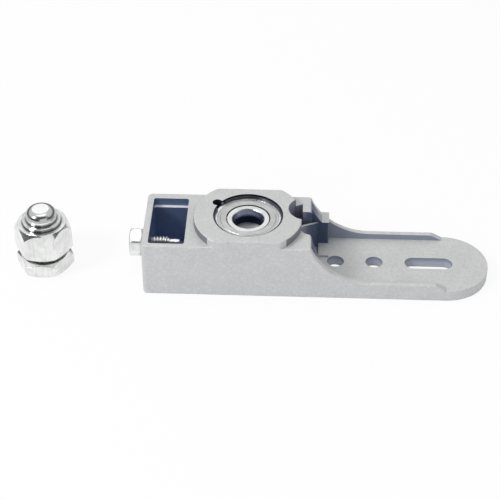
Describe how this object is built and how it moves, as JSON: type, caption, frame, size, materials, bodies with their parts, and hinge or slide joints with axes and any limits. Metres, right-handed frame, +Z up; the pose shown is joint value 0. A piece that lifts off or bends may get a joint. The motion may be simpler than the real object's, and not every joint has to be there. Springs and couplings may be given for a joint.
{
  "type": "bottom door pivot",
  "caption": "Cast bottom pivot arm with a shielded ball bearing, an end adjusting screw and a slotted screw tongue, with the hex floor pin and jam nut that turn in the bearing.",
  "frame": {"origin": "on the bearing axis, in the plane that the arm and the floor pin stand on", "axes": "+Z up along the bearing axis, out of the pivot bore; +X along the arm towards the screw tongue's round tip"},
  "size_m": [0.1966, 0.036, 0.0284],
  "materials": {
    "silver_paint": "satin silver paint over a sand casting",
    "spring_steel": "oil-blackened",
    "bearing_steel": "ground",
    "pressed_steel": "pressed sheet",
    "zinc_steel": "bright zinc plate"
  },
  "bodies": {
    "arm": {"housing": "silver_paint", "retaining_ring": "spring_steel", "bearing_outer_ring": "bearing_steel", "upper_shield": "pressed_steel", "lower_shield": "pressed_steel"},
    "inner_ring": {"bearing_inner_ring": "bearing_steel"},
    "ball_set": {"bearing_balls": "bearing_steel", "bearing_cage_upper": "pressed_steel", "bearing_cage_lower": "pressed_steel", "cage_rivets": "pressed_steel"},
    "adjuster": {"adjusting_screw": "zinc_steel"},
    "pin": {"pivot_pin": "zinc_steel"},
    "nut": {"jam_nut": "zinc_steel"}
  },
  "joints": [
    {"name": "inner_ring_spin", "type": "hinge", "parent": "arm", "child": "inner_ring", "pos_m": [0, 0, 0.02233], "axis": [0, 0, 1], "continuous": true},
    {"name": "ball_set_spin", "type": "hinge", "parent": "arm", "child": "ball_set", "pos_m": [0, 0, 0.02233], "axis": [0, 0, 1], "continuous": true},
    {"name": "adjuster_travel", "type": "slide", "parent": "arm", "child": "adjuster", "axis": [1, 0, 0], "range_m": [-0.005, 0.0008]},
    {"name": "nut_turn", "type": "hinge", "parent": "arm", "child": "nut", "pos_m": [-0.0851, 0, 0], "axis": [0, 0, 1], "range_deg": [-720, 0]},
    {"name": "pin_rise", "type": "slide", "parent": "arm", "child": "pin", "axis": [0, 0, 1], "range_m": [0, 0.0028]}
  ],
  "couplings": [
    {"joint": "ball_set_spin", "follows": "inner_ring_spin", "ratio": 0.40384},
    {"joint": "nut_turn", "follows": "pin_rise", "rad_per_m": -4452.9}
  ]
}
